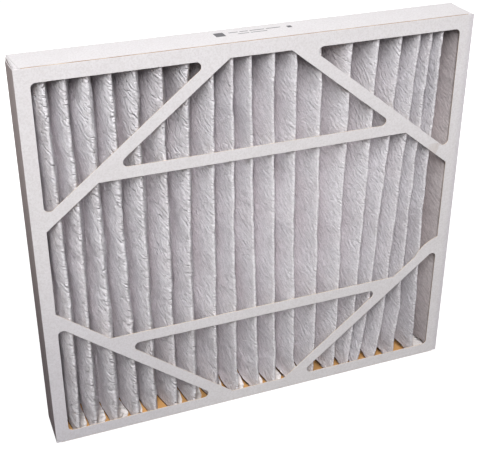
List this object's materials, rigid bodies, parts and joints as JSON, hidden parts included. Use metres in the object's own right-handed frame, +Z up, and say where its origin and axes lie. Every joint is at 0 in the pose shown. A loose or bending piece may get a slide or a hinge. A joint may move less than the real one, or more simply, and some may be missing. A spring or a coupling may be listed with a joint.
{
  "type": "pleated panel air filter",
  "caption": "Flat rectangular air filter: vertical pleats of non-woven media in a folded board frame with lattice faces.",
  "frame": {"origin": "middle of the base that the filter stands on, the underside of the frame's lower edge", "axes": "+X to the right as seen from the side that air enters, +Y through the filter with the air, +Z up along the pleats"},
  "size_m": [0.4952, 0.0444, 0.4445],
  "materials": {
    "board": "matt white-faced board with a brown core",
    "media": "fibrous grey-white non-woven",
    "glue": "satin hot-melt adhesive"
  },
  "bodies": {
    "root": {"front_tray": "board", "rear_tray": "board", "pleated_media": "media", "left_end_glue": "glue", "right_end_glue": "glue", "front_upper_glue": "glue", "front_lower_glue": "glue", "rear_upper_glue": "glue", "rear_lower_glue": "glue"}
  },
  "joints": []
}
